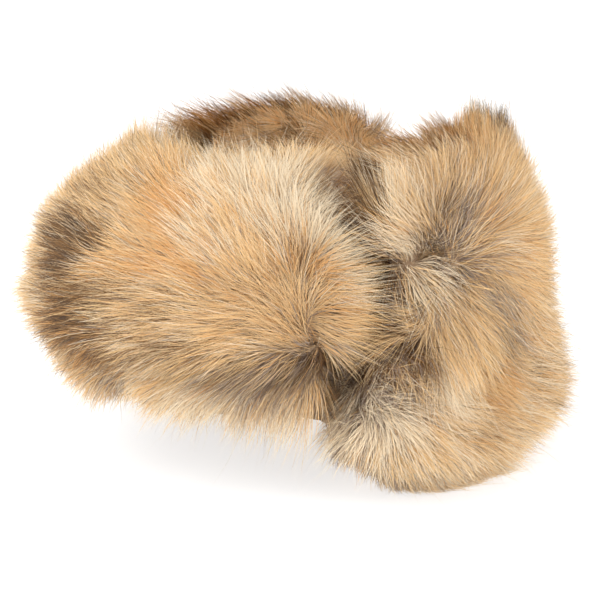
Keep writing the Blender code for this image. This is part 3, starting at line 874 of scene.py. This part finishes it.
def blotched_material(name, grain, dark, light, roughness, **values):
    """Two colours mixed by the grain's blotches, with its relief."""
    material, tree, shader = new_material(name)
    effect = use_group(tree, grain, **values)
    ramp = tree.nodes.new("ShaderNodeValToRGB")
    ramp.color_ramp.elements[0].position = 0.35
    ramp.color_ramp.elements[0].color = (*dark, 1.0)
    ramp.color_ramp.elements[1].position = 0.68
    ramp.color_ramp.elements[1].color = (*light, 1.0)
    tree.links.new(effect.outputs["Blotch"], ramp.inputs["Fac"])
    tree.links.new(ramp.outputs["Color"], shader.inputs["Base Color"])
    tree.links.new(effect.outputs["Normal"], shader.inputs["Normal"])
    shader.inputs["Roughness"].default_value = roughness
    return material


def plain_material(name, colour, roughness, glow=0.0):
    """One colour, for the floor, with a white glow of its own that keeps shadows faint."""
    material, _, shader = new_material(name)
    shader.inputs["Base Color"].default_value = (*colour, 1.0)
    shader.inputs["Roughness"].default_value = roughness
    shader.inputs["Emission Color"].default_value = (1.0, 1.0, 1.0, 1.0)
    shader.inputs["Emission Strength"].default_value = glow
    return material


# The camera stands at these angles round the hat, and looks at this height and side shift
CAMERA_TURN = math.radians(57.0)
CAMERA_RISE = math.radians(16.0)
CAMERA_DISTANCE = 1.6
VIEW_WIDTH = 600 / 1580.0
AIM_UP = 136 / 1580.0
AIM_SIDE = 3 / 1580.0
SENSOR = 36.0


def make_camera():
    """A long lens at the photograph's angle, level, aimed a little above the origin."""
    from mathutils import Matrix, Vector

    across = Vector((math.cos(CAMERA_TURN), math.sin(CAMERA_TURN), 0.0))
    back = Vector((math.sin(CAMERA_TURN) * math.cos(CAMERA_RISE),
                   -math.cos(CAMERA_TURN) * math.cos(CAMERA_RISE), math.sin(CAMERA_RISE)))
    up = back.cross(across)
    data = bpy.data.cameras.new("camera")
    data.sensor_width = SENSOR
    data.lens = SENSOR * CAMERA_DISTANCE / VIEW_WIDTH
    camera = bpy.data.objects.new("camera", data)
    spot = across * AIM_SIDE + up * AIM_UP + back * CAMERA_DISTANCE
    camera.matrix_world = Matrix.Translation(spot) @ Matrix((across, up, back)).transposed().to_4x4()
    bpy.context.scene.collection.objects.link(camera)
    bpy.context.scene.camera = camera


def make_light(name, spot, size, power, colour=(1.0, 1.0, 1.0)):
    """A square soft light that faces the hat."""
    from mathutils import Vector

    data = bpy.data.lights.new(name, "AREA")
    data.size = size
    data.energy = power
    data.color = colour
    light = bpy.data.objects.new(name, data)
    light.location = spot
    light.rotation_euler = (Vector((0.0, 0.0, 0.1)) - Vector(spot)).to_track_quat("-Z", "Y").to_euler()
    bpy.context.scene.collection.objects.link(light)


def make_studio():
    """A pale floor, an even bright world and two soft lights."""
    bpy.ops.mesh.primitive_plane_add(size=12.0, location=(0.0, 0.0, -0.0002))
    floor = bpy.context.object
    floor.name = "floor"
    floor.data.materials.append(plain_material("floor", (0.50, 0.50, 0.50), 0.9, 0.70))
    world = bpy.data.worlds.new("studio")
    world.use_nodes = True
    world.node_tree.nodes["Background"].inputs["Color"].default_value = (1.0, 1.0, 1.0, 1.0)
    world.node_tree.nodes["Background"].inputs["Strength"].default_value = 1.0
    bpy.context.scene.world = world
    make_light("key", (0.1, -1.5, 1.5), 1.2, 20.0)
    make_light("fill", (1.7, 0.2, 0.9), 1.2, 8.0)
    bpy.context.scene.view_settings.view_transform = "Standard"


def main():
    """Builds the hat's looks, the studio and the camera."""
    make_camera()
    coat, grain = coat_group(), grain_group()
    fur = fur_material(coat)
    underfur = blotched_material(
        "underfur", grain, (0.30, 0.20, 0.13), (0.50, 0.35, 0.21), 0.9, Scale=420.0, Height=0.5
    )
    suede = blotched_material(
        "suede", grain, (0.30, 0.19, 0.11), (0.40, 0.27, 0.17), 0.85, Scale=600.0, Height=0.25
    )
    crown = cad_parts["crown"]
    for slot in crown.material_slots:
        slot.material = suede
    for index, flap in enumerate(FLAPS):
        make_pelt(flap, underfur, suede)
        grow(flap, flap.node + "_down", flap.down, 0.70 * flap.length, 0.00026, DOWN_STEPS, 0.3,
             down_coats, fur, 100 + index)
        grow(flap, flap.node + "_blades", flap.blades, flap.length, 0.00014, BLADE_STEPS, 0.55,
             pick_coats, fur, 200 + index)
        make_fringe(flap, fur, 300 + index)
    make_crown_fur(underfur, suede, fur)
    make_studio()


main()

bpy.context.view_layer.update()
